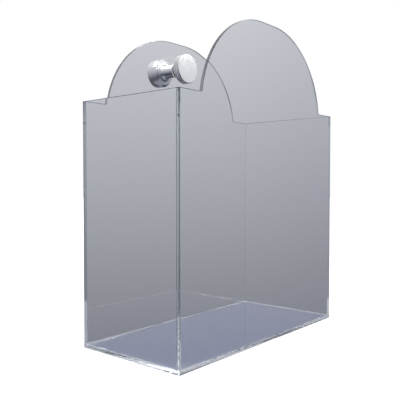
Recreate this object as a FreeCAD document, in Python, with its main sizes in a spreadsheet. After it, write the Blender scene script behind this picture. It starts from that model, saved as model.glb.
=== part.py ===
"""Wall-hung magazine rack: a glued clear acrylic box on a turned metal stand-off.

Frame: +Z up, millimetres, origin under the middle of the box's floor.
The open box is wide along X and shallow along Y. Its front faces -Y and the wall is at +Y.
The stand-off's axis is parallel to Y. Turned pieces are drawn about their own Z, which
counts from the wall towards the room, and are then placed on that axis.
"""
import FreeCAD, Part
import math
import os
import re
import Sketcher

doc = FreeCAD.newDocument("magazine_rack")

# Driving dimensions: alias, size in millimetres, meaning.
SIZES = [
    ("rack_width", 317, "outside width of the box"),
    ("rack_depth", 151, "outside depth of the box"),
    ("shoulder_height", 286, "from the underside of the floor to the top of the sides"),
    ("sheet_thickness", 4, "acrylic sheet"),
    ("arch_rise", 95, "top of the arches above the shoulders"),
    ("arch_radius", 112, "radius of an arch's two round flanks"),
    ("arch_flat", 26, "width of an arch's level top"),
    ("axis_rise", 59.5, "stand-off axis above the shoulders"),
    ("wall_gap", 37.5, "from the wall to the back of the box"),
    ("turning_fit", 0.08, "radial clearance of the stud in whatever turns on it"),
    ("seat_fit", 0.05, "radial clearance between pieces that are fixed together"),
    ("stud_diameter", 8, "threaded stud, drawn without its thread"),
    ("stud_chamfer", 0.8, "chamfer at the stud's free end"),
    ("bush_wall", 1.87, "wall of the bush in the back panel's hole"),
    ("bush_short", 0.2, "how much the bush stays behind the panel's back face"),
    ("flange_width", 3.5, "overlap of the bush's flange on the panel"),
    ("flange_thickness", 1, "flange of the bush"),
    ("washer_thickness", 1, "rear and front washer"),
    ("knob_diameter", 39, "knurled head of the knob"),
    ("head_length", 9.4, "length of that head"),
    ("head_chamfer", 0.8, "chamfer on both rims of the head"),
    ("face_thickness", 1.9, "metal left in front of the knob's blind thread"),
    ("neck_diameter", 19, "neck behind the head"),
    ("neck_length", 7, "from the front washer to the head"),
    ("neck_flare", 3.5, "radius of the flare between neck and head"),
    ("thread_spare", 1, "blind hole beyond the end of the screw or stud in it"),
    ("rosette_diameter", 39, "cup that covers the wall plate"),
    ("rosette_wall", 2.45, "wall of that cup"),
    ("rosette_band", 10, "straight rim of the cup"),
    ("rosette_bevel", 3.3, "bevel round the front of the cup"),
    ("plate_thickness", 5, "disc that is screwed to the wall"),
    ("plate_room", 1, "space between the wall plate and the post screw's head"),
    ("wall_hole_diameter", 4.5, "clearance hole for a wall screw"),
    ("wall_head_diameter", 8.5, "countersink for a wall screw"),
    ("wall_hole_inset", 7, "centre of a wall screw hole inside the plate's rim"),
    ("grub_diameter", 4, "set screw in the underside of the cup"),
    ("grub_bite", 3, "how far the set screw enters the wall plate"),
    ("grub_recess", 0.4, "outer end of the set screw inside the rim"),
    ("post_screw_diameter", 6, "screw that holds the post to the cup"),
    ("post_screw_grip", 5.5, "length of that screw inside the post"),
    ("post_screw_head_diameter", 10.5, "head of that screw"),
    ("post_screw_head_length", 3, "height of that head"),
    ("post_web", 1.7, "metal between the post's two blind holes"),
    ("post_diameter", 17.6, "waist of the post"),
    ("foot_diameter", 28.4, "foot of the post, on the cup"),
    ("foot_edge", 1, "straight rim of that foot"),
    ("collar_diameter", 19, "end of the post at the box"),
    ("collar_edge", 1.5, "straight rim of that end"),
    ("collar_flare", 3, "length of the flare up to that rim"),
    ("post_socket_flats", 4, "width across the flats of the post screw's socket"),
    ("grub_socket_flats", 2, "width across the flats of the set screw's socket"),
    ("socket_depth", 1.8, "depth of both sockets"),
]
# Sizes worked out from those, in order.
WORKED_OUT = [
    ("wall_y", "rack_depth / 2 + wall_gap"),
    ("axis_z", "shoulder_height + axis_rise"),
    ("bore_radius", "stud_diameter / 2 + turning_fit"),
    ("bush_radius", "bore_radius + bush_wall"),
    ("panel_hole_radius", "bush_radius + seat_fit"),
    ("flange_radius", "panel_hole_radius + flange_width"),
    ("arch_foot", "arch_flat / 2 + sqrt(arch_radius ^ 2 - (arch_radius - arch_rise) ^ 2)"),
    ("plate_radius", "rosette_diameter / 2 - rosette_wall - seat_fit"),
    ("web_back", "plate_thickness + plate_room + post_screw_head_length"),
    ("rosette_front", "rosette_band + rosette_bevel"),
    ("foot_front", "rosette_front + foot_edge"),
    ("foot_flare", "(foot_diameter - post_diameter) / 2"),
    ("collar_step", "(collar_diameter - post_diameter) / 2"),
    ("post_end", "wall_gap - washer_thickness"),
    ("collar_back", "post_end - collar_edge"),
    ("post_screw_end", "rosette_front + post_screw_grip"),
    ("stud_start", "post_screw_end + thread_spare + post_web"),
    ("panel_front", "wall_gap + sheet_thickness"),
    ("flange_front", "panel_front + flange_thickness"),
    ("neck_back", "flange_front + washer_thickness"),
    ("head_back", "neck_back + neck_length"),
    ("head_front", "head_back + head_length"),
    ("knob_bore_end", "head_front - face_thickness"),
    ("stud_end", "knob_bore_end - thread_spare"),
]
NAMES = {row[0] for row in SIZES + WORKED_OUT}
COUNTERSINK_TAPER = -45  # degrees, narrowing into the plate

sheet = doc.addObject("Spreadsheet::Sheet", "Sizes")
for row, (alias, size, meaning) in enumerate(SIZES, start=1):
    sheet.set(f"A{row}", meaning)
    sheet.set(f"B{row}", str(size))
    sheet.setAlias(f"B{row}", alias)
for row, (alias, formula) in enumerate(WORKED_OUT, start=len(SIZES) + 1):
    sheet.set(f"A{row}", formula)
    sheet.set(f"B{row}", "=" + formula)
    sheet.setAlias(f"B{row}", alias)
doc.recompute()


def value_of(formula):
    """The number that a formula in the sheet's names gives now."""
    return float(sheet.evalExpression(formula))


def bind(thing, path, formula):
    """Tie a property or a sketch dimension to a formula in the sheet's names."""
    tied = re.sub(r"[a-z_]+", lambda m: "Sizes." + m[0] if m[0] in NAMES else m[0], formula)
    thing.setExpression(path, tied)


def place(piece, x="0", y="0", z="0", rotation=FreeCAD.Rotation()):
    """Put a piece where the three formulas say."""
    piece.Placement = FreeCAD.Placement(FreeCAD.Vector(), rotation)
    for letter, formula in zip("xyz", (x, y, z)):
        bind(piece, f"Placement.Base.{letter}", formula)


# ---------------------------------------------------------------- sketches
ORIGIN = (-1, 1)
LEVEL_AXIS = (-1, 2)
UPRIGHT_AXIS = (-2, 2)


def new_body(name):
    body = doc.addObject("PartDesign::Body", name)
    body.Label = name
    return body


def new_sketch(body, role, name, lift="0"):
    """An empty sketch on one of the body's own origin planes, lifted off it by a formula."""
    sketch = body.newObject("Sketcher::SketchObject", name)
    plane = next(f for f in body.Origin.OriginFeatures if f.Role == role)
    sketch.AttachmentSupport = (plane, "")
    sketch.MapMode = "FlatFace"
    bind(sketch, "AttachmentOffset.Base.z", lift)
    return sketch


def hold_point(sketch, edge, end, x, y):
    """Fix one end of an edge at the formulas x and y, or on an axis where one is 0."""
    for kind, formula, axis in (("DistanceX", x, UPRIGHT_AXIS), ("DistanceY", y, LEVEL_AXIS)):
        if formula == "0":
            sketch.addConstraint(Sketcher.Constraint("PointOnObject", edge, end, axis[0]))
            continue
        size = value_of(formula)
        index = sketch.addConstraint(Sketcher.Constraint(kind, *ORIGIN, edge, end, size))
        bind(sketch, f"Constraints[{index}]", formula)


def draw_outline(sketch, corners, arcs=None):
    """A closed outline through corners given as pairs of formulas.

    arcs maps the number of a side to (centre x, centre y, radius, +1 for anticlockwise).
    """
    arcs = arcs or {}
    spots = [FreeCAD.Vector(value_of(x), value_of(y), 0) for x, y in corners]
    ends = []
    for side, start in enumerate(spots):
        stop = spots[(side + 1) % len(spots)]
        if side not in arcs:
            edge = sketch.addGeometry(Part.LineSegment(start, stop), False)
            ends.append((edge, 1, 2))
            continue
        centre_x, centre_y, radius, turn = arcs[side]
        centre = FreeCAD.Vector(value_of(centre_x), value_of(centre_y), 0)
        circle = Part.Circle(centre, FreeCAD.Vector(0, 0, 1), value_of(radius))
        first, last = (start, stop) if turn > 0 else (stop, start)
        angles = [math.atan2(p.y - centre.y, p.x - centre.x) for p in (first, last)]
        edge = sketch.addGeometry(Part.ArcOfCircle(circle, *angles), False)
        index = sketch.addConstraint(Sketcher.Constraint("Radius", edge, value_of(radius)))
        bind(sketch, f"Constraints[{index}]", radius)
        ends.append((edge, 1, 2) if turn > 0 else (edge, 2, 1))
    for side, (edge, _, finish) in enumerate(ends):
        following, begin, _ = ends[(side + 1) % len(ends)]
        join = Sketcher.Constraint("Coincident", edge, finish, following, begin)
        sketch.addConstraint(join)
    for (edge, begin, _), (x, y) in zip(ends, corners):
        hold_point(sketch, edge, begin, x, y)


def draw_circle(sketch, x, y, radius):
    centre = FreeCAD.Vector(value_of(x), value_of(y), 0)
    circle = Part.Circle(centre, FreeCAD.Vector(0, 0, 1), value_of(radius))
    edge = sketch.addGeometry(circle, False)
    index = sketch.addConstraint(Sketcher.Constraint("Radius", edge, value_of(radius)))
    bind(sketch, f"Constraints[{index}]", radius)
    hold_point(sketch, edge, 3, x, y)


# ---------------------------------------------------------------- features
def pad(body, sketch, length):
    feature = body.newObject("PartDesign::Pad", body.Name + "_pad")
    feature.Profile = sketch
    bind(feature, "Length", length)
    return feature


def pocket(body, sketch, depth, along_normal=True, taper=0):
    """Cut the sketch into the body to a depth, along the sketch's normal or against it."""
    feature = body.newObject("PartDesign::Pocket", sketch.Name + "_cut")
    feature.Profile = sketch
    feature.Reversed = along_normal
    feature.TaperAngle = taper
    bind(feature, "Length", depth)
    return feature


def turn(body, corners, arcs=None):
    """Turn a profile of (radius, distance along Z) corners about the body's own Z."""
    sketch = new_sketch(body, "XZ_Plane", body.Name + "_profile")
    draw_outline(sketch, corners, arcs)
    feature = body.newObject("PartDesign::Revolution", body.Name + "_turned")
    feature.Profile = sketch
    feature.ReferenceAxis = (sketch, ["V_Axis"])
    feature.Angle = 360
    return feature


def hex_socket(body, flats, lift):
    """A hexagon cut upwards from the height lift, for a key as wide as flats."""
    sketch = new_sketch(body, "XY_Plane", body.Name + "_hexagon", lift)
    half = f"{flats} / 2"
    tall = f"{flats} / sqrt(3)"
    corners = [("0", tall), (f"-{half}", f"{tall} / 2"), (f"-{half}", f"-{tall} / 2"),
               ("0", f"-{tall}"), (half, f"-{tall} / 2"), (half, f"{tall} / 2")]
    draw_outline(sketch, corners)
    pocket(body, sketch, "socket_depth")


def grub_hole(body, start, depth):
    """The set screw's radial hole in the underside, from the distance start outwards."""
    sketch = new_sketch(body, "XZ_Plane", body.Name + "_grub_hole", start)
    draw_circle(sketch, "0", "plate_thickness / 2", "grub_diameter / 2 + seat_fit")
    pocket(body, sketch, depth)


def on_axis(piece):
    """Stand a turned piece's Z on the stand-off's axis, from the wall into the room."""
    place(piece, y="wall_y", z="axis_z", rotation=FreeCAD.Rotation(FreeCAD.Vector(1, 0, 0), 90))


def ring(name, inner, outer, back, front):
    """A plain ring on the stand-off's axis."""
    body = new_body(name)
    turn(body, [(inner, back), (outer, back), (outer, front), (inner, front)])
    on_axis(body)
    return body


# ---------------------------------------------------------------- acrylic box
def sheet_box(name, length, width, height, x, y, z):
    """A flat rectangular panel with its low corner at x, y, z."""
    panel = doc.addObject("Part::Box", name)
    panel.Label = name
    for side, formula in (("Length", length), ("Width", width), ("Height", height)):
        bind(panel, side, formula)
    place(panel, x, y, z)
    return panel


def arched_panel(name, y, hole):
    """A full-width wall with square shoulders and a flat-topped arch, standing on the floor.

    Its back face is at y. The arch is two arcs that run level into the flat top.
    """
    half, foot, flat = "rack_width / 2", "arch_foot", "arch_flat / 2"
    low, shoulder = "sheet_thickness", "shoulder_height"
    top, centre_z = "shoulder_height + arch_rise", "shoulder_height + arch_rise - arch_radius"
    corners = [(f"-{half}", low), (half, low), (half, shoulder), (foot, shoulder),
               (flat, top), (f"-{flat}", top), (f"-{foot}", shoulder), (f"-{half}", shoulder)]
    arcs = {3: (flat, centre_z, "arch_radius", 1), 5: (f"-{flat}", centre_z, "arch_radius", 1)}
    body = new_body(name)
    sketch = new_sketch(body, "XZ_Plane", name + "_outline")
    draw_outline(sketch, corners, arcs)
    if hole:
        draw_circle(sketch, "0", "axis_z", "panel_hole_radius")
    pad(body, sketch, "sheet_thickness")
    place(body, y=y)
    return body


def acrylic_box():
    """Floor, front and back across the whole width, and two sides between those."""
    inner_depth = "rack_depth - 2 * sheet_thickness"
    side_height = "shoulder_height - sheet_thickness"
    side_y = "sheet_thickness - rack_depth / 2"
    return [
        sheet_box("floor_panel", "rack_width", "rack_depth", "sheet_thickness",
                  "-rack_width / 2", "-rack_depth / 2", "0"),
        arched_panel("front_panel", "sheet_thickness - rack_depth / 2", hole=False),
        arched_panel("back_panel", "rack_depth / 2", hole=True),
        sheet_box("left_side_panel", "sheet_thickness", inner_depth, side_height,
                  "-rack_width / 2", side_y, "sheet_thickness"),
        sheet_box("right_side_panel", "sheet_thickness", inner_depth, side_height,
                  "rack_width / 2 - sheet_thickness", side_y, "sheet_thickness"),
    ]


# ---------------------------------------------------------------- wall side of the stand-off
def wall_plate():
    """Disc on the wall with two countersunk holes and a radial seat for the set screw."""
    body = new_body("wall_plate")
    thick = "plate_thickness"
    turn(body, [("0", "0"), ("plate_radius", "0"), ("plate_radius", thick), ("0", thick)])
    reach = "plate_radius - wall_hole_inset"
    for name, diameter, depth, taper in (
            ("wall_holes", "wall_hole_diameter", thick, 0),
            ("countersinks", "wall_head_diameter",
             "(wall_head_diameter - wall_hole_diameter) / 2", COUNTERSINK_TAPER)):
        sketch = new_sketch(body, "XY_Plane", name, thick)
        for centre in (reach, f"-({reach})"):
            draw_circle(sketch, centre, "0", f"{diameter} / 2")
        pocket(body, sketch, depth, along_normal=False, taper=taper)
    grub_hole(body, "plate_radius - grub_bite", "grub_bite")
    on_axis(body)
    return body


def rosette():
    """Bevelled cup over the wall plate, with a screw hole in its web and one in its rim."""
    body = new_body("rosette")
    inner = "plate_radius + seat_fit"
    outer = "rosette_diameter / 2"
    screw = "post_screw_diameter / 2 + seat_fit"
    turn(body, [(inner, "0"), (outer, "0"), (outer, "rosette_band"),
                (f"{outer} - rosette_bevel", "rosette_front"), (screw, "rosette_front"),
                (screw, "web_back"), (inner, "web_back")])
    grub_hole(body, "0", outer)
    on_axis(body)
    return body


def grub_screw():
    """Set screw that locks the cup to the wall plate from below."""
    body = new_body("grub_screw")
    radius = "grub_diameter / 2"
    length = "rosette_diameter / 2 - grub_recess - plate_radius + grub_bite"
    turn(body, [("0", "0"), (radius, "0"), (radius, length), ("0", length)])
    hex_socket(body, "grub_socket_flats", "0")
    place(body, y="wall_y - plate_thickness / 2",
          z="axis_z - rosette_diameter / 2 + grub_recess")
    return body


def post_screw():
    """Screw that pulls the post onto the cup, with its head inside the cup."""
    body = new_body("post_screw")
    head, shank = "post_screw_head_diameter / 2", "post_screw_diameter / 2"
    back = "web_back - post_screw_head_length"
    turn(body, [("0", back), (head, back), (head, "web_back"), (shank, "web_back"),
                (shank, "post_screw_end"), ("0", "post_screw_end")])
    hex_socket(body, "post_socket_flats", back)
    on_axis(body)
    return body


def post():
    """Turned post with a quarter-round foot, a waist and a slight flare at the box."""
    body = new_body("post")
    waist, foot, collar = "post_diameter / 2", "foot_diameter / 2", "collar_diameter / 2"
    screw_hole = "post_screw_diameter / 2 + seat_fit"
    stud_hole = "stud_diameter / 2 + seat_fit"
    screw_hole_end = "post_screw_end + thread_spare"
    waist_end = "collar_back - collar_flare"
    flare = "(collar_flare ^ 2 + collar_step ^ 2) / (2 * collar_step)"
    corners = [("0", screw_hole_end), (screw_hole, screw_hole_end),
               (screw_hole, "rosette_front"), (foot, "rosette_front"), (foot, "foot_front"),
               (waist, "foot_front + foot_flare"), (waist, waist_end),
               (collar, "collar_back"), (collar, "post_end"), (stud_hole, "post_end"),
               (stud_hole, "stud_start"), ("0", "stud_start")]
    arcs = {4: (foot, "foot_front + foot_flare", "foot_flare", -1),
            6: (f"{waist} + {flare}", waist_end, flare, -1)}
    turn(body, corners, arcs)
    on_axis(body)
    return body


def stud():
    """Stud from the post through the back panel into the knob."""
    body = new_body("stud")
    radius = "stud_diameter / 2"
    turn(body, [("0", "stud_start"), (radius, "stud_start"),
                (radius, "stud_end - stud_chamfer"), (f"{radius} - stud_chamfer", "stud_end"),
                ("0", "stud_end")])
    on_axis(body)
    return body


# ---------------------------------------------------------------- room side of the stand-off
def hole_bush():
    """Flanged bush in the back panel's hole, with its flange on the panel's front face."""
    body = new_body("hole_bush")
    back = "wall_gap + bush_short"
    turn(body, [("bore_radius", back), ("bush_radius", back), ("bush_radius", "panel_front"),
                ("flange_radius", "panel_front"), ("flange_radius", "flange_front"),
                ("bore_radius", "flange_front")])
    on_axis(body)
    return body


def knob():
    """Turned knob: a neck that flares into a chamfered head, with a blind threaded hole."""
    body = new_body("knob")
    neck, head = "neck_diameter / 2", "knob_diameter / 2"
    inner_rim = f"{head} - head_chamfer"
    corners = [("0", "knob_bore_end"), ("bore_radius", "knob_bore_end"),
               ("bore_radius", "neck_back"), (neck, "neck_back"),
               (neck, "head_back - neck_flare"), (f"{neck} + neck_flare", "head_back"),
               (inner_rim, "head_back"), (head, "head_back + head_chamfer"),
               (head, "head_front - head_chamfer"), (inner_rim, "head_front"),
               ("0", "head_front")]
    arcs = {4: (f"{neck} + neck_flare", "head_back - neck_flare", "neck_flare", -1)}
    turn(body, corners, arcs)
    on_axis(body)
    return body


def all_pieces():
    """Every piece of the rack, from the box to the knob."""
    return [
        *acrylic_box(),
        wall_plate(),
        rosette(),
        grub_screw(),
        post_screw(),
        post(),
        stud(),
        ring("rear_washer", "bore_radius", "collar_diameter / 2", "post_end", "wall_gap"),
        hole_bush(),
        ring("front_washer", "bore_radius", "neck_diameter / 2", "flange_front", "neck_back"),
        knob(),
    ]


def check_and_write(pieces):
    """Stop at the first failed object or bad solid, then write one STEP file per piece."""
    for thing in doc.Objects:
        if {"Invalid", "Error"} & set(thing.State):
            raise RuntimeError(f"{thing.Name} failed: {thing.State}")
    for piece in pieces:
        shape = piece.Shape
        if shape.isNull() or not shape.isValid() or len(shape.Solids) != 1:
            raise RuntimeError(f"{piece.Label} is not one valid solid")
    os.makedirs("parts", exist_ok=True)
    for piece in pieces:
        piece.Shape.exportStep(f"parts/{piece.Label}.step")


rack = all_pieces()
doc.recompute()
check_and_write(rack)
for piece in rack:
    box = piece.Shape.BoundBox
    low = [round(v, 2) for v in (box.XMin, box.YMin, box.ZMin)]
    high = [round(v, 2) for v in (box.XMax, box.YMax, box.ZMax)]
    print(f"{piece.Label:18s} {low} {high} {piece.Shape.Volume:.1f} mm3")
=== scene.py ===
"""Looks for the clear acrylic magazine rack on its wall stand-off.

The acrylic panels are cut from sheet with polished, slightly eased edges. The stand-off is
turned and chromed, with a diamond knurl round the knob's rim. Everything is in metres, in
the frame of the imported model: the box is wide along X, its front faces -Y, +Z is up.
"""
import math
import bpy
import numpy as np
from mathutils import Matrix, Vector
from mathutils.geometry import tessellate_polygon


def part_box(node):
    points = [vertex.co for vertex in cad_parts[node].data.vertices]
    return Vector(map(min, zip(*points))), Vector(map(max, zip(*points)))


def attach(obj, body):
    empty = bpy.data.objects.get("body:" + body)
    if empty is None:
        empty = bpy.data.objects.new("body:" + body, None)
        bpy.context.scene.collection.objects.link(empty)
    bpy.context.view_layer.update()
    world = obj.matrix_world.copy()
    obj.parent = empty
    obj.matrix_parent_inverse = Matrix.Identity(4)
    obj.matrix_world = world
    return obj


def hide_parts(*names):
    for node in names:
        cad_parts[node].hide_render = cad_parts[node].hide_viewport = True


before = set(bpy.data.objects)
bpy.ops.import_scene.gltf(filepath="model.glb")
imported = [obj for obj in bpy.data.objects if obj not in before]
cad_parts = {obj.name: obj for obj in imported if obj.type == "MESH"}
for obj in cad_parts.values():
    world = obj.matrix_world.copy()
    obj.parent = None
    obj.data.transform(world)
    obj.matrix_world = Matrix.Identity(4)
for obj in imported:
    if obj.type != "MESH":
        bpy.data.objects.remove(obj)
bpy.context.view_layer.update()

MM = 0.001


# ---------------------------------------------------------------- sizes
FLOOR_LOW, FLOOR_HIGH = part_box("floor_panel")
FRONT_LOW, FRONT_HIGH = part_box("front_panel")
BACK_LOW, BACK_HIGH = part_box("back_panel")
SIDE_LOW, SIDE_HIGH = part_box("left_side_panel")
RIGHT_SIDE_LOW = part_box("right_side_panel")[0]
SHEET = FLOOR_HIGH.z - FLOOR_LOW.z
SHOULDER = SIDE_HIGH.z
ARCH_TOP = FRONT_HIGH.z
ARCH_FLAT = 26 * MM  # the level stretch at the top of an arch
ARCH_RADIUS = 112 * MM
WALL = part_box("wall_plate")[1].y
AXIS_Z = sum(corner.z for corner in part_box("hole_bush")) / 2  # height of the stand-off's axis
HOLE_RADIUS = 6 * MM  # hole for the bush in the back panel
WELD = 0.04 * MM  # how far welded panels run into each other, so that light passes the joint
SEAT = 0.02 * MM  # air between the back panel and the washers on it
EASED_EDGE = 0.3 * MM
THREAD = 4.05 * MM  # hole in the post for the stud
SCREW_HOLE = 3.05 * MM  # hole in the rosette and the post for the post screw
SMOOTH_SHEET, SMOOTH_TURNED = 20, 25  # edges that turn by fewer degrees are shaded smooth
AROUND = 256  # points round a plain turned piece

# ---------------------------------------------------------------- where the camera looks from
AZIMUTH, ELEVATION = math.radians(-49.75), math.radians(1.66)
CAMERA_RIGHT = Vector((math.cos(AZIMUTH), math.sin(AZIMUTH), 0))
CAMERA_BACK = Vector((math.sin(AZIMUTH) * math.cos(ELEVATION),
                      -math.cos(AZIMUTH) * math.cos(ELEVATION), math.sin(ELEVATION)))


# ---------------------------------------------------------------- meshes
def mesh_piece(name, points, faces, smooth_below):
    """A mesh object at the origin from an array of points and a list of faces."""
    mesh = bpy.data.meshes.new(name)
    mesh.from_pydata(points.tolist(), [], faces)
    mesh.validate()
    mesh.update()
    mesh.shade_smooth()
    mesh.set_sharp_from_angle(angle=math.radians(smooth_below))
    piece = bpy.data.objects.new(name, mesh)
    bpy.context.scene.collection.objects.link(piece)
    return piece


def ring_faces(rings, count, closed=False):
    """Quads between rings of points: point k of ring r has the number r * count + k.

    Its neighbours are point k + 1 modulo count and point k of ring r + 1. When closed, the
    last ring joins the first.
    """
    ring, here = np.meshgrid(np.arange(rings if closed else rings - 1), np.arange(count),
                             indexing="ij")
    low, high, ahead = ring * count, (ring + 1) % rings * count, (here + 1) % count
    return np.stack([low + here, low + ahead, high + ahead, high + here], axis=-1).reshape(-1, 4)


def arc(centre, radius, start, stop, steps):
    """Points along a circle from one angle to another, both ends included."""
    turn = np.linspace(start, stop, steps + 1)
    return np.column_stack([centre[0] + radius * np.cos(turn), centre[1] + radius * np.sin(turn)])


def inset(loop, distance):
    """A closed loop moved to its left by a distance.

    Each corner moves along its mitre, the sum of the left-hand normals of its two sides over
    one plus their dot product.
    """
    along = np.roll(loop, -1, axis=0) - loop
    along /= np.linalg.norm(along, axis=1, keepdims=True)
    left_out = along[:, ::-1] * (-1, 1)
    left_in = np.roll(left_out, 1, axis=0)
    mitre = (left_in + left_out) / (1 + (left_in * left_out).sum(1))[:, None]
    return loop + mitre * distance


def softened(corners, radius, steps=4):
    """An open path with each inner corner rounded by a parabola of a few steps.

    From a to b, both at the distance radius from the corner or less on a short side, it runs
    as (1 - t)^2 a + 2 t (1 - t) corner + t^2 b.
    """
    path = np.array(corners, float)
    corner = path[1:-1]
    into, out = path[:-2] - corner, path[2:] - corner
    into_length = np.linalg.norm(into, axis=1, keepdims=True)
    out_length = np.linalg.norm(out, axis=1, keepdims=True)
    reach = np.minimum(radius, np.minimum(into_length, out_length) / 2.2)
    a = corner + into / into_length * reach
    b = corner + out / out_length * reach
    t = np.linspace(0, 1, steps + 1)[:, None]
    bends = ((1 - t) ** 2 * a[:, None] + 2 * t * (1 - t) * corner[:, None] + t ** 2 * b[:, None])
    return np.concatenate([path[:1], bends.reshape(-1, 2), path[-1:]])


def cut_sheet(name, outline, thickness, to_space, holes=()):
    """A flat sheet with eased edges, from an anticlockwise outline and clockwise holes.

    Each loop is carried through the thickness as four rings: the flat face's rim, inset by
    the eased edge, then the full outline twice, then the other face's rim. The two flat
    faces are the same triangles between the rims, one way up and the other.
    """
    depths = (0, EASED_EDGE, thickness - EASED_EDGE, thickness)
    insets = (EASED_EDGE, 0, 0, EASED_EDGE)
    points, walls, rim_numbers, start = [], [], [], 0
    for loop in (outline, *holes):
        count = len(loop)
        points += [np.column_stack([inset(loop, distance), np.full(count, depth)])
                   for depth, distance in zip(depths, insets)]
        walls += (ring_faces(len(depths), count) + start).tolist()
        rim_numbers.append(np.arange(start, start + count))
        start += len(depths) * count
    points = np.concatenate(points)
    rims = [[Vector((*corner[:2], 0)) for corner in points[numbers]] for numbers in rim_numbers]
    low_rim = np.concatenate(rim_numbers)
    high_rim = np.concatenate([numbers + (len(depths) - 1) * len(numbers)
                               for numbers in rim_numbers])
    triangles = np.array(tessellate_polygon(rims))
    a, b, c = (points[low_rim[triangles[:, corner]], :2] for corner in range(3))
    clockwise = (b - a)[:, 0] * (c - a)[:, 1] < (b - a)[:, 1] * (c - a)[:, 0]
    triangles[clockwise] = triangles[clockwise, ::-1]
    faces = walls + low_rim[triangles[:, ::-1]].tolist() + high_rim[triangles].tolist()
    return mesh_piece(name, to_space(points), faces, SMOOTH_SHEET)


def lathe(name, path, count=AROUND, relief=None):
    """A turned shape from a path of (distance from the axis, distance from the wall) points.

    Point (r, s) at angle a goes to (r sin a, wall - s, axis height + r cos a), and relief may
    first make r smaller. A path that starts on the axis ends on it too, and each of these
    ends is one point with a fan of triangles. Any other path is a closed loop.
    """
    solid = path[0][0] == 0
    rings = path[1:-1] if solid else path
    angle = np.arange(count) * 2 * math.pi / count
    radius, depth = (np.repeat(rings[:, [column]], count, axis=1) for column in (0, 1))
    if relief:
        radius = relief(radius, depth, angle)
    points = np.stack([radius * np.sin(angle), WALL - depth, AXIS_Z + radius * np.cos(angle)],
                      axis=-1).reshape(-1, 3)
    faces = ring_faces(len(rings), count, closed=not solid)[:, ::-1].tolist()
    if solid:
        first = np.arange(count)
        last = first + len(points) - count
        poles = np.full(count, len(points)), np.full(count, len(points) + 1)
        points = np.concatenate([points, [(0, WALL - s, AXIS_Z) for s in path[[0, -1], 1]]])
        faces += np.stack([poles[0], first, np.roll(first, -1)], axis=1).tolist()
        faces += np.stack([poles[1], np.roll(last, -1), last], axis=1).tolist()
    return mesh_piece(name, points, faces, SMOOTH_TURNED)


def level_plate(low, high, height):
    """The corners and the one upward face of a flat rectangle."""
    corners = [(low[0], low[1], height), (high[0], low[1], height),
               (high[0], high[1], height), (low[0], high[1], height)]
    return np.array(corners), [[0, 1, 2, 3]]


# ---------------------------------------------------------------- finishes
class Tree:
    """A node tree and short ways to add and join its nodes."""

    def __init__(self, tree):
        self.tree = tree

    def add(self, kind, **settings):
        node = self.tree.nodes.new(kind)
        for key, value in settings.items():
            setattr(node, key, value)
        return node

    def fill(self, socket, value):
        """Join a socket to a node's output, or give it a plain value."""
        if isinstance(value, bpy.types.NodeSocket):
            self.tree.links.new(value, socket)
        else:
            socket.default_value = value

    def maths(self, operation, first, second=0.0):
        node = self.add("ShaderNodeMath", operation=operation)
        self.fill(node.inputs[0], first)
        self.fill(node.inputs[1], second)
        return node.outputs[0]

    def ranged(self, value, start, stop, low=0.0, high=1.0, curve="LINEAR"):
        """A value from start to stop mapped to low to high, and held beyond them."""
        node = self.add("ShaderNodeMapRange", interpolation_type=curve)
        for name, number in (("Value", value), ("From Min", start), ("From Max", stop),
                             ("To Min", low), ("To Max", high)):
            self.fill(node.inputs[name], number)
        return node.outputs["Result"]


class Finish(Tree):
    """A material whose patterns lie on Object coordinates."""

    def __init__(self, name, **values):
        self.material = bpy.data.materials.new(name)
        self.material.use_nodes = True
        super().__init__(self.material.node_tree)
        self.shader = self.tree.nodes["Principled BSDF"]
        self.place = self.add("ShaderNodeTexCoord").outputs["Object"]
        for key, value in values.items():
            self.shader.inputs[key.replace("_", " ")].default_value = value

    def noise(self, scale, detail, place=None, rough=0.5):
        node = self.add("ShaderNodeTexNoise")
        for name, value in (("Scale", scale), ("Detail", detail), ("Roughness", rough),
                            ("Vector", place or self.place)):
            self.fill(node.inputs[name], value)
        return node.outputs["Fac"]

    def stretched(self, stretch):
        """Object coordinates with each axis multiplied."""
        node = self.add("ShaderNodeVectorMath", operation="MULTIPLY")
        self.fill(node.inputs[0], self.place)
        self.fill(node.inputs[1], stretch)
        return node.outputs[0]

    def around_axis(self):
        """Distance from the stand-off's axis: the root of x squared plus height squared."""
        split = self.add("ShaderNodeSeparateXYZ")
        self.fill(split.inputs[0], self.place)
        height = self.maths("SUBTRACT", split.outputs["Z"], AXIS_Z)
        across = self.maths("MULTIPLY", split.outputs["X"], split.outputs["X"])
        up = self.maths("MULTIPLY", height, height)
        return self.maths("SQRT", self.maths("ADD", across, up))

    def roughness(self, pattern, low, high, start=0.3, stop=0.7):
        """Roughness from low to high where the pattern runs from start to stop."""
        self.fill(self.shader.inputs["Roughness"], self.ranged(pattern, start, stop, low, high))

    def bump(self, height, strength, distance):
        node = self.add("ShaderNodeBump")
        for name, value in (("Strength", strength), ("Distance", distance), ("Height", height)):
            self.fill(node.inputs[name], value)
        self.fill(self.shader.inputs["Normal"], node.outputs["Normal"])


def clear_acrylic():
    """Clear cast acrylic: a faint haze of wiping marks, and blue-grey over long paths."""
    finish = Finish("clear_acrylic", Base_Color=(0.97, 0.975, 0.99, 1), IOR=1.491,
                    Transmission_Weight=1.0)
    upright_marks = finish.stretched((1.0, 1.0, 0.12))
    wiping = finish.noise(scale=60, detail=6, place=upright_marks, rough=0.7)
    finish.roughness(wiping, low=0.0, high=0.012, start=0.35, stop=0.8)
    finish.bump(finish.noise(scale=9, detail=1), strength=0.02, distance=0.4 * MM)
    tint = finish.add("ShaderNodeVolumeAbsorption")
    tint.inputs["Color"].default_value = (0.70, 0.735, 0.76, 1)
    tint.inputs["Density"].default_value = 3.5
    finish.fill(finish.tree.nodes["Material Output"].inputs["Volume"], tint.outputs[0])
    return finish.material


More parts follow.
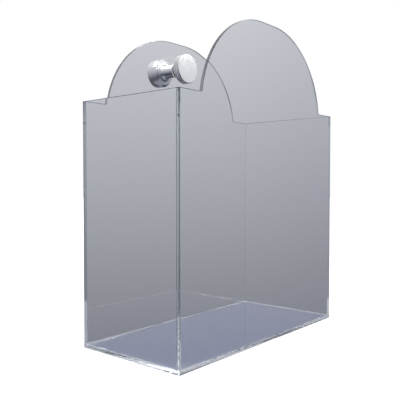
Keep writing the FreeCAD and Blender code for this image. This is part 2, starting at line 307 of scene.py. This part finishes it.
def chromed(name, colour, low, high, tool_marks):
    """Turned and chromed metal: fine rings of tool marks, faint smears and a grainy sheen."""
    ring_pitch = 0.25 * MM
    finish = Finish(name, Base_Color=(*colour, 1), Metallic=1.0)
    finish.roughness(finish.noise(scale=140, detail=5), low, high, stop=0.75)
    turns = finish.maths("MULTIPLY", finish.around_axis(), 2 * math.pi / ring_pitch)
    grain = finish.noise(scale=2500, detail=2)
    marks = finish.maths("ADD", finish.maths("SINE", turns), grain)
    finish.bump(marks, tool_marks, distance=0.01 * MM)
    return finish.material


def plated_steel():
    """Zinc-plated steel with a crystalline mottle."""
    finish = Finish("plated_steel", Base_Color=(0.62, 0.63, 0.65, 1), Metallic=1.0)
    finish.roughness(finish.noise(scale=700, detail=4), low=0.22, high=0.42)
    finish.bump(finish.noise(scale=3000, detail=2), strength=0.15, distance=0.02 * MM)
    return finish.material


def natural_nylon():
    """Natural nylon: milky, with a soft moulded grain."""
    finish = Finish("natural_nylon", Base_Color=(0.86, 0.86, 0.84, 1), IOR=1.53)
    finish.roughness(finish.noise(scale=900, detail=3), low=0.38, high=0.58)
    finish.bump(finish.noise(scale=4000, detail=2), strength=0.2, distance=0.02 * MM)
    return finish.material


# ---------------------------------------------------------------- pieces
def dress(piece, material, node, body):
    """Give a new piece its material and let it stand for a node."""
    piece.data.materials.append(material)
    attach(piece, body)
    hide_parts(node)
    return piece


def arched_outline(low, high):
    """Square shoulders under a flat-topped arch of two arcs that run level into the flat.

    The flank's circle meets the shoulder at the angle whose sine is the shoulder's height
    over the circle's centre, divided by the radius. The left half mirrors the right.
    """
    half_flat = ARCH_FLAT / 2
    centre_z = ARCH_TOP - ARCH_RADIUS
    foot = math.asin((SHOULDER - centre_z) / ARCH_RADIUS)
    flank = arc((half_flat, centre_z), ARCH_RADIUS, foot, math.pi / 2, 96)
    bottom = low.z - WELD / 2
    right = [(high.x, bottom), (high.x, SHOULDER)]
    left = [(low.x, SHOULDER), (low.x, bottom)]
    return np.array([*right, *flank, *(flank * (-1, 1))[::-1], *left])


def rectangle(low, high):
    return np.array([(low[0], low[1]), (high[0], low[1]), (high[0], high[1]), (low[0], high[1])])


def panels(material):
    """Five sheets: two arched ones, two sides between them, and the floor under all four."""
    arched = arched_outline(FRONT_LOW, FRONT_HIGH)
    hole = arc((0, AXIS_Z), HOLE_RADIUS, 2 * math.pi, 0, 64)[:-1]
    side = rectangle((SIDE_LOW.y - WELD / 2, SIDE_LOW.z - WELD / 2),
                     (SIDE_HIGH.y + WELD / 2, SIDE_HIGH.z))
    floor = rectangle(FLOOR_LOW, FLOOR_HIGH)

    def upright(back):
        """Outline across and up, thickness from the back face towards the front."""
        return lambda p: np.column_stack([p[:, 0], back - p[:, 2], p[:, 1]])

    def sideways(left):
        """Outline from front to back and up, thickness from the left face to the right."""
        return lambda p: np.column_stack([left + p[:, 2], p[:, 0], p[:, 1]])

    made = {
        "front_panel": cut_sheet("front_sheet", arched, SHEET, upright(FRONT_HIGH.y)),
        "back_panel": cut_sheet("back_sheet", arched, SHEET - 2 * SEAT,
                                upright(BACK_HIGH.y - SEAT), [hole]),
        "left_side_panel": cut_sheet("left_sheet", side, SHEET, sideways(SIDE_LOW.x)),
        "right_side_panel": cut_sheet("right_sheet", side, SHEET, sideways(RIGHT_SIDE_LOW.x)),
        "floor_panel": cut_sheet("floor_sheet", floor, SHEET, lambda p: p + (0, 0, FLOOR_LOW.z)),
    }
    for node, piece in made.items():
        dress(piece, material, node, "rack")


def span(node):
    """A turned node's largest radius, and how far its two ends stand off the wall."""
    low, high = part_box(node)
    return (high.x - low.x) / 2, WALL - high.y, WALL - low.y


def rosette(material):
    """Cup with a bevelled front, open towards the wall."""
    radius, rim, front = span("rosette")
    wall, web_start, bevel = 2.45 * MM, 9 * MM, 3.3 * MM
    inner = radius - wall
    path = softened([(SCREW_HOLE, web_start), (inner, web_start), (inner, rim), (radius, rim),
                     (radius, front - bevel), (radius - bevel, front), (SCREW_HOLE, front)],
                    0.35 * MM, steps=5)
    piece = lathe("rosette_turned", path)
    return dress(piece, material, "rosette", "wall_mount")


def post(material):
    """Post with a quarter-round foot, a waist and a slightly flared end.

    The flare is an arc that leaves the waist level. Its radius is the sum of the squares of
    the flare's length and its rise, over twice the rise.
    """
    foot, back, front = span("post")
    waist, collar = 8.8 * MM, 9.5 * MM
    flange, flare, edge = 1 * MM, 3 * MM, 1.5 * MM
    screw_end, stud_start = back + 6.5 * MM, back + 8.2 * MM
    foot_front = back + flange
    cove = foot - waist
    hollow = arc((foot, foot_front + cove), cove, 1.5 * math.pi, math.pi, 16)
    rise = collar - waist
    sweep = (flare ** 2 + rise ** 2) / (2 * rise)
    spread = math.asin(flare / sweep)
    flared = arc((waist + sweep, front - edge - flare), sweep, math.pi, math.pi - spread, 12)
    path = np.concatenate([
        [(0, screw_end)],
        softened([(SCREW_HOLE, screw_end), (SCREW_HOLE, back), (foot, back), (foot, foot_front),
                  hollow[1]], 0.25 * MM)[:-1],
        hollow[1:],
        flared,
        softened([flared[-1], (collar, front), (THREAD, front), (THREAD, stud_start)],
                 0.3 * MM)[1:],
        [(0, stud_start)],
    ])
    piece = lathe("post_turned", path)
    return dress(piece, material, "post", "wall_mount")


def knob(material):
    """Knob with a chamfered head, a diamond knurl on its rim and a flared neck."""
    radius, back, front = span("knob")
    neck, bore = 9.5 * MM, 4.08 * MM
    head_back, bore_end = front - 9.4 * MM, front - 1.9 * MM
    chamfer, flare, broken = 0.8 * MM, 3.5 * MM, 0.15 * MM
    teeth, steps_in_tooth, rim_rings = 96, 8, 45
    groove_depth, fade = 0.38 * MM, 0.35 * MM
    flared = arc((neck + flare, head_back - flare), flare, math.pi, math.pi / 2, 12)
    rim_start, rim_end = head_back + chamfer, front - chamfer
    rim = np.column_stack([np.full(rim_rings, radius),
                           np.linspace(rim_start, rim_end, rim_rings)])
    path = np.concatenate([
        [(0, bore_end)],
        softened([(bore, bore_end), (bore, back), (neck, back), flared[0]], 0.25 * MM)[:-1],
        flared,
        softened([flared[-1], (radius - chamfer, head_back), rim[0]], broken)[1:-1],
        rim,
        softened([rim[-1], (radius - chamfer, front), (0, front)], broken)[1:],
    ])
    tooth_width = 2 * math.pi * radius / teeth

    def knurl(here, level, angle):
        """Two crossing sets of V grooves, one climbing each way at 45 degrees.

        A groove is 1 minus the size of (2 u modulo 2, less 1), where u counts teeth round the
        rim plus or minus the climb. The radius loses the deeper of the two, and both fade out
        at the rim's ends.
        """
        inside = np.clip(np.minimum(level - rim_start, rim_end - level) / fade, 0, 1)
        turn = angle * teeth / (2 * math.pi)
        climb = (level - rim_start) / tooth_width
        grooves = [1 - np.abs(2 * np.mod(turn + sign * climb, 1) - 1) for sign in (1, -1)]
        cut = groove_depth * inside * np.maximum(*grooves)
        return np.where(here < radius, here, here - cut)

    piece = lathe("knob_turned", path, teeth * steps_in_tooth, knurl)
    return dress(piece, material, "knob", "knob")


def kept_nodes():
    """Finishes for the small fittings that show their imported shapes."""
    steel, nylon = plated_steel(), natural_nylon()
    finishes = {"wall_plate": steel, "grub_screw": steel, "post_screw": steel, "stud": steel,
                "front_washer": steel, "rear_washer": nylon, "hole_bush": nylon}
    for node, material in finishes.items():
        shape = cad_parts[node]
        shape.data.materials.clear()
        shape.data.materials.append(material)


# ---------------------------------------------------------------- studio
class Room(Tree):
    """The studio round the rack, as a world whose tone depends on direction only."""

    def __init__(self):
        world = bpy.data.worlds.new("studio")
        bpy.context.scene.world = world
        world.use_nodes = True
        super().__init__(world.node_tree)
        self.tree.nodes.clear()
        self.direction = self.add("ShaderNodeTexCoord").outputs["Generated"]

    def towards(self, direction):
        """The cosine of the angle to a direction."""
        node = self.add("ShaderNodeVectorMath", operation="DOT_PRODUCT")
        self.fill(node.inputs[0], self.direction)
        self.fill(node.inputs[1], Vector(direction).normalized())
        return node.outputs["Value"]

    def ramp(self, value, stops):
        """A colour ramp over values from -1 to 1."""
        node = self.add("ShaderNodeValToRGB")
        ramp = node.color_ramp
        ramp.elements.remove(ramp.elements[0])
        for index, (height, tone) in enumerate(stops):
            place = (height + 1) / 2
            stop = ramp.elements[0] if index == 0 else ramp.elements.new(place)
            stop.position = place
            stop.color = (*tone, 1)
        half = self.maths("MULTIPLY", value, 0.5)
        self.fill(node.inputs["Fac"], self.maths("ADD", half, 0.5))
        return node.outputs["Color"]

    def smooth_step(self, value, start, stop):
        return self.ranged(value, start, stop, curve="SMOOTHSTEP")

    def glow(self, direction, inner, outer):
        """1 within the angle inner of a direction, 0 beyond outer, in degrees."""
        edges = [math.cos(math.radians(angle)) for angle in (outer, inner)]
        return self.smooth_step(self.towards(direction), *edges)

    def mixed(self, kind, share, first, second):
        node = self.add("ShaderNodeMix", data_type="RGBA", blend_type=kind)
        colour_sockets = node.inputs[6], node.inputs[7]
        for socket, value in zip((node.inputs[0], *colour_sockets), (share, first, second)):
            self.fill(socket, value)
        return node.outputs[2]

    def finish(self, colour):
        """White to the camera, the room's colour to every other ray."""
        room, white = (self.add("ShaderNodeBackground") for _ in range(2))
        self.fill(room.inputs["Color"], colour)
        self.fill(white.inputs["Color"], (1, 1, 1, 1))
        mix = self.add("ShaderNodeMixShader")
        seen = self.add("ShaderNodeLightPath").outputs["Is Camera Ray"]
        for socket, value in zip(mix.inputs, (seen, room.outputs[0], white.outputs[0])):
            self.fill(socket, value)
        self.fill(self.add("ShaderNodeOutputWorld").inputs["Surface"], mix.outputs[0])


def studio_room():
    """Grey, lighter with height, darkest under the metal, and paler again straight below.

    It falls off a little to the camera's right. A light bank stands high at the front right:
    light that has run the length of a sheet leaves it that way, so the bank is what makes
    the cut edges sparkle.
    """
    room = Room()
    height = room.towards((0, 0, 1))
    tone = room.ramp(height, [
        (-1.0, (0.36, 0.37, 0.40)), (-0.84, (0.36, 0.37, 0.40)), (-0.68, (0.05, 0.05, 0.07)),
        (-0.52, (0.07, 0.07, 0.09)), (-0.32, (0.205, 0.21, 0.235)), (0.0, (0.42, 0.43, 0.46)),
        (0.30, (0.625, 0.635, 0.67)), (0.5, (0.75, 0.75, 0.78)), (0.68, (1.0, 1.0, 1.0)),
        (1.0, (1.0, 1.0, 1.0))])
    aside = room.smooth_step(room.towards(CAMERA_RIGHT), 0.0, 0.35)
    tone = room.mixed("MULTIPLY", aside, tone, (0.84, 0.84, 0.86, 1))
    raised = room.smooth_step(height, 0.30, 0.335)
    bank = room.maths("MULTIPLY", raised, room.glow((0.6, -0.7, 0.38), inner=24, outer=32))
    room.finish(room.mixed("MIX", bank, tone, (5, 5, 5, 1)))


def soft_box(name, direction, size, power, lit):
    """A square lamp in a direction from the stand-off that lights only some pieces."""
    distance = 1.5
    away = Vector(direction).normalized()
    lamp = bpy.data.lights.new(name, "AREA")
    lamp.size = size
    lamp.energy = power
    piece = bpy.data.objects.new(name, lamp)
    bpy.context.scene.collection.objects.link(piece)
    piece.location = Vector((0, BACK_LOW.y, AXIS_Z)) + away * distance
    piece.rotation_euler = away.to_track_quat("Z", "Y").to_euler()
    piece.visible_camera = False
    receivers = bpy.data.collections.new(name + "_lights")
    for other in lit:
        receivers.objects.link(other)
    piece.light_linking.receiver_collection = receivers


def studio_floor():
    """Pale floor, and a glowing bluish plate hidden from the camera: painted shade under the rack
    that shows through its floor panel.
    """
    reach, floor_height, shade_height, margin = 6, -0.5 * MM, -0.3 * MM, 1 * MM
    floor = stage_plate("studio_floor", (-reach, -reach), (reach, reach), floor_height,
                        Base_Color=(0.9, 0.9, 0.9, 1), Emission_Color=(1, 1, 1, 1),
                        Emission_Strength=0.6)
    floor.visible_transmission = False
    floor.visible_glossy = False
    # Painted shade: a glowing bluish plate, seen only through the floor panel, stands in for the
    # shaded floor under the rack.
    shade = stage_plate("painted_floor_shade", (FLOOR_LOW.x + margin, FLOOR_LOW.y + margin),
                        (FLOOR_HIGH.x - margin, FLOOR_HIGH.y - margin), shade_height,
                        Base_Color=(0, 0, 0, 1), Roughness=1.0, Specular_IOR_Level=0.0,
                        Emission_Color=(0.095, 0.12, 0.24, 1), Emission_Strength=1.0)
    shade.visible_camera = False


def stage_plate(name, low, high, height, **values):
    """A flat plate of the studio with a plain finish of its own."""
    plate = mesh_piece(name, *level_plate(low, high, height), SMOOTH_SHEET)
    plate.data.materials.append(Finish(name, **values).material)
    return plate


def camera():
    """A 50 mm lens to the left of the front, just above the middle of the box."""
    distance = 0.716
    aim = Vector((-0.0163, 0.0184, 0.1701))
    data = bpy.data.cameras.new("camera")
    data.lens = 50
    data.sensor_width = 36
    data.clip_start = 0.01
    piece = bpy.data.objects.new("camera", data)
    bpy.context.scene.collection.objects.link(piece)
    piece.location = aim + CAMERA_BACK * distance
    piece.rotation_euler = CAMERA_BACK.to_track_quat("Z", "Y").to_euler()
    bpy.context.scene.camera = piece


def light_paths():
    """Plain colours, and bounces enough for light to run along inside a whole sheet."""
    scene = bpy.context.scene
    scene.view_settings.view_transform = "Standard"
    along_sheet = 160
    scene.cycles.max_bounces = along_sheet
    scene.cycles.transmission_bounces = along_sheet
    scene.cycles.glossy_bounces = along_sheet
    scene.cycles.transparent_max_bounces = 16


panels(clear_acrylic())
polished = chromed("polished_chrome", (0.80, 0.81, 0.83), low=0.05, high=0.14, tool_marks=0.02)
satin = chromed("knob_chrome", (0.82, 0.83, 0.83), low=0.12, high=0.22, tool_marks=0.15)
rosette_piece, post_piece, knob_piece = rosette(polished), post(polished), knob(satin)
kept_nodes()
studio_room()
soft_box("front_box", (0.76, -0.65, 0.0), 1.3, 1.7, [knob_piece, post_piece, rosette_piece])
soft_box("top_box", (-0.35, -0.15, 0.9), 1.3, 9, [post_piece, rosette_piece])
soft_box("back_box", (0.0, 0.62, 0.78), 1.2, 12, [post_piece])
camera()
studio_floor()
light_paths()
